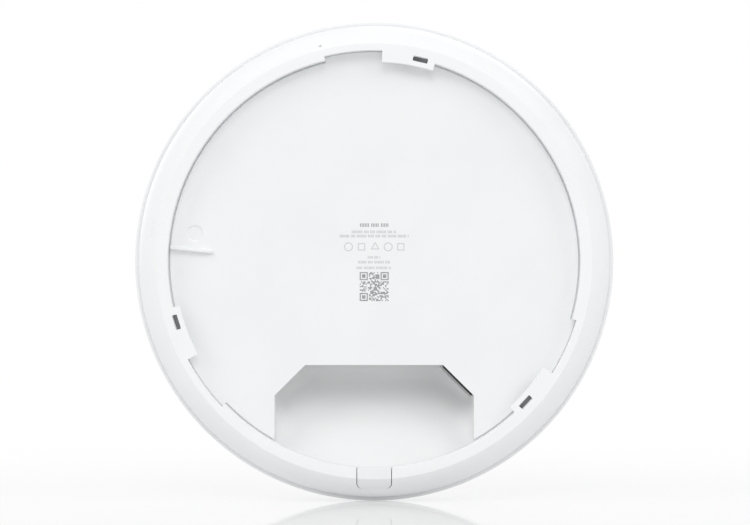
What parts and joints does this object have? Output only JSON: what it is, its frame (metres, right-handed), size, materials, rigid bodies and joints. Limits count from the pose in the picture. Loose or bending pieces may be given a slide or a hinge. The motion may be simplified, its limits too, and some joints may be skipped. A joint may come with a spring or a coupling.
{
  "type": "ceiling wireless access point",
  "caption": "Round domed ceiling access point with a recessed mounting side, bayonet tabs, a cable well with an angled Ethernet jack, a pull-out cable gate and a status light ring.",
  "frame": {"origin": "middle of the recessed back plate's outer face, where the bracket seats", "axes": "-Y out of the mounting side, +Y out of the domed front, +Z up with the cable exit at the bottom, +X towards the jack's side; on a ceiling -Y points up"},
  "size_m": [0.206, 0.0459, 0.206],
  "materials": {
    "white_plastic": "fine satin texture, cool white",
    "white_paint": "fine powder coat, cool white",
    "light_plastic": "milky translucent",
    "black_plastic": "satin black",
    "board_green": "solder-masked laminate",
    "tin_plate": "tin plated",
    "cast_aluminium": "as cast",
    "gold_contact": "gold plated",
    "pad_grey": "soft matt",
    "screw_steel": "zinc plated"
  },
  "bodies": {
    "housing": {"rear_rim": "white_plastic", "back_plate": "white_paint", "cable_well": "white_plastic", "jack_housing": "black_plastic", "jack_shield": "tin_plate", "main_board": "board_green", "heat_sink": "cast_aluminium", "soc_chip": "black_plastic", "soc_pad": "pad_grey", "radio_chip": "black_plastic", "memory_chip_1": "black_plastic", "memory_chip_2": "black_plastic", "flash_memory": "black_plastic", "lan_transformer": "black_plastic", "radio_pad": "pad_grey", "fan_frame": "black_plastic", "reset_switch": "black_plastic", "shield_can_left": "tin_plate", "shield_can_right": "tin_plate", "poe_transformer": "black_plastic", "power_inductor": "cast_aluminium", "bulk_capacitor": "cast_aluminium", "led_board": "white_paint", "light_guide": "light_plastic", "centre_cap": "white_plastic", "front_cover": "white_plastic", "jack_contact_1": "gold_contact", "jack_contact_2": "gold_contact", "jack_contact_3": "gold_contact", "jack_contact_4": "gold_contact", "jack_contact_5": "gold_contact", "jack_contact_6": "gold_contact", "jack_contact_7": "gold_contact", "jack_contact_8": "gold_contact", "plate_screw_1": "screw_steel", "board_screw_1": "screw_steel", "antenna_1": "tin_plate", "plate_screw_2": "screw_steel", "board_screw_2": "screw_steel", "antenna_2": "tin_plate", "plate_screw_3": "screw_steel", "board_screw_3": "screw_steel", "antenna_3": "tin_plate", "plate_screw_4": "screw_steel", "board_screw_4": "screw_steel", "antenna_4": "tin_plate", "plate_screw_5": "screw_steel", "board_screw_5": "screw_steel", "antenna_5": "tin_plate", "plate_screw_6": "screw_steel", "board_screw_6": "screw_steel", "antenna_6": "tin_plate", "heat_sink_screw_1": "screw_steel", "fan_screw_1": "screw_steel", "heat_sink_screw_2": "screw_steel", "fan_screw_2": "screw_steel"},
    "reset_button": {"reset_plunger": "white_plastic", "switch_actuator": "black_plastic"},
    "gate": {"cable_gate": "white_plastic"},
    "fan": {"fan_rotor": "black_plastic"}
  },
  "joints": [
    {"name": "reset_press", "type": "slide", "parent": "housing", "child": "reset_button", "axis": [0, 1, 0], "range_m": [0, 0.0005], "stiffness_N_per_m": 3000, "springref_m": -0.0002},
    {"name": "gate_pull", "type": "slide", "parent": "housing", "child": "gate", "axis": [0, -1, 0], "range_m": [0, 0.014]},
    {"name": "fan_spin", "type": "hinge", "parent": "housing", "child": "fan", "pos_m": [0, 0.0074, 0.042], "axis": [0, 1, 0], "continuous": true}
  ]
}
